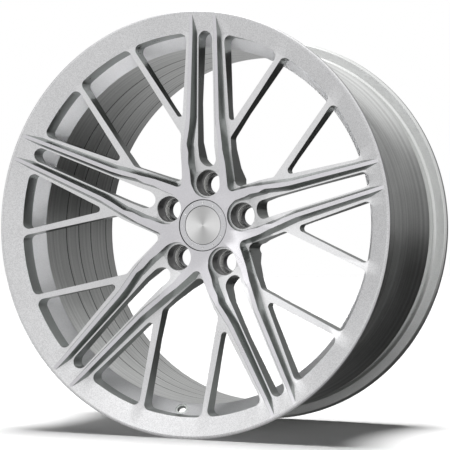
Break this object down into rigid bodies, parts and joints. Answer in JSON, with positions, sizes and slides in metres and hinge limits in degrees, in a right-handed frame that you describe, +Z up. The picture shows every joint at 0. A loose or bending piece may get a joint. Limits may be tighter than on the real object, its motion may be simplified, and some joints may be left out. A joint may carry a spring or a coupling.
{
  "type": "forged wheel rim",
  "caption": "Deep concave forged wheel rim with twin spokes and branches, a drop-centre barrel, bolt seats, a spigot ring and a snap-in centre cap.",
  "frame": {"origin": "middle of the rim, on the axle line", "axes": "+Y along the axle towards the car, so that the outboard face looks along -Y; +Z up, with the valve hole near the bottom"},
  "size_m": [0.5474, 0.2758, 0.5474],
  "materials": {
    "face": "satin silver",
    "barrel": "turned, clear coated",
    "steel": "zinc plated",
    "spigot": "moulded",
    "cap_shell": "moulded",
    "cap_face": "spun, circular brushing",
    "cap_stud": "polished"
  },
  "bodies": {
    "wheel": {"front_rim": "face", "inner_barrel": "barrel", "hub": "face", "spoke_1": "face", "spoke_2": "face", "spoke_3": "face", "spoke_4": "face", "spoke_5": "face", "bolt_seat_1": "steel", "bolt_seat_2": "steel", "bolt_seat_3": "steel", "bolt_seat_4": "steel", "bolt_seat_5": "steel", "spigot_ring": "spigot"},
    "cap": {"cap_body": "cap_shell", "cap_bezel": "cap_face", "cap_badge": "cap_face", "cap_spring": "steel", "cap_stud_1": "cap_stud", "cap_stud_2": "cap_stud", "cap_stud_3": "cap_stud", "cap_stud_4": "cap_stud", "cap_stud_5": "cap_stud", "cap_stud_6": "cap_stud", "cap_stud_7": "cap_stud", "cap_stud_8": "cap_stud", "cap_stud_9": "cap_stud", "cap_stud_10": "cap_stud", "cap_stud_11": "cap_stud", "cap_stud_12": "cap_stud"}
  },
  "joints": [
    {"name": "cap_pull", "type": "slide", "parent": "wheel", "child": "cap", "axis": [0, -1, 0], "range_m": [0, 0.04]}
  ]
}
